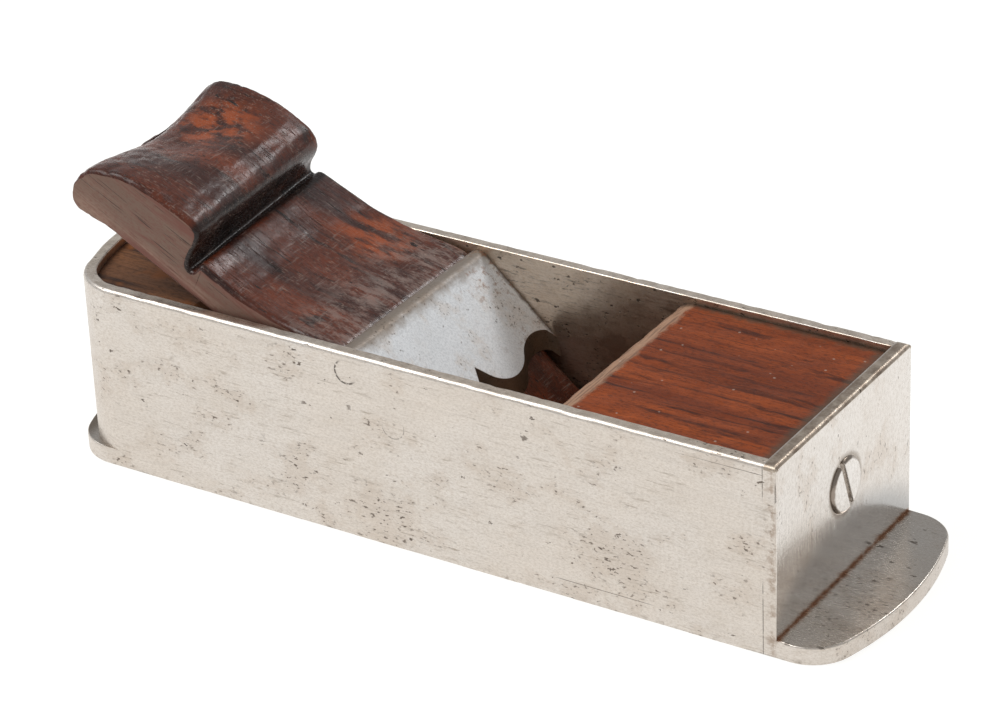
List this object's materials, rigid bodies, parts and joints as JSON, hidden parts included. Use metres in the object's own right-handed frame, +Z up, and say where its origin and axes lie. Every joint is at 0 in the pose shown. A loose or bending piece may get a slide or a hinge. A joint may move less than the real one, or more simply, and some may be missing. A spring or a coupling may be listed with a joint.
{
  "type": "mitre plane",
  "caption": "Dovetailed steel mitre plane with wooden infills, a riveted bridge with a cupid's-bow edge, and a wooden wedge over a low bevel-up cutter.",
  "frame": {"origin": "centre of the whole plane's box, on the underside of the sole", "axes": "+X towards the toe, +Y to the far side seen with the toe on the right, +Z up from the sole"},
  "size_m": [0.2242, 0.067, 0.0806],
  "materials": {
    "plate_steel": "brushed lengthwise, old and finely pitted, with faint brown stains",
    "bridge_steel": "satin polished, with small pits and rust spots",
    "screw_steel": "worn satin",
    "cutter_steel": "dark with age, bright at the bevel",
    "infill_wood": "reddish brown rosewood, polished by handling",
    "wedge_wood": "dark reddish brown rosewood, glossy and dented"
  },
  "bodies": {
    "box": {"front_sole": "plate_steel", "rear_sole": "plate_steel", "side_band": "plate_steel", "toe_plate": "plate_steel", "front_infill": "infill_wood", "rear_infill": "infill_wood", "bridge": "bridge_steel", "near_upper_rivet": "plate_steel", "near_lower_rivet": "plate_steel", "far_upper_rivet": "plate_steel", "far_lower_rivet": "plate_steel", "toe_screw": "screw_steel", "heel_screw": "screw_steel"},
    "cutter_body": {"cutter": "cutter_steel"},
    "wedge_body": {"wedge": "wedge_wood"}
  },
  "joints": [
    {"name": "wedge_slide", "type": "slide", "parent": "box", "child": "wedge_body", "axis": [-0.8829, 0, 0.4695], "range_m": [0, 0.045]},
    {"name": "cutter_slide", "type": "slide", "parent": "box", "child": "cutter_body", "axis": [-0.8829, 0, 0.4695], "range_m": [-0.0008, 0.03]}
  ]
}
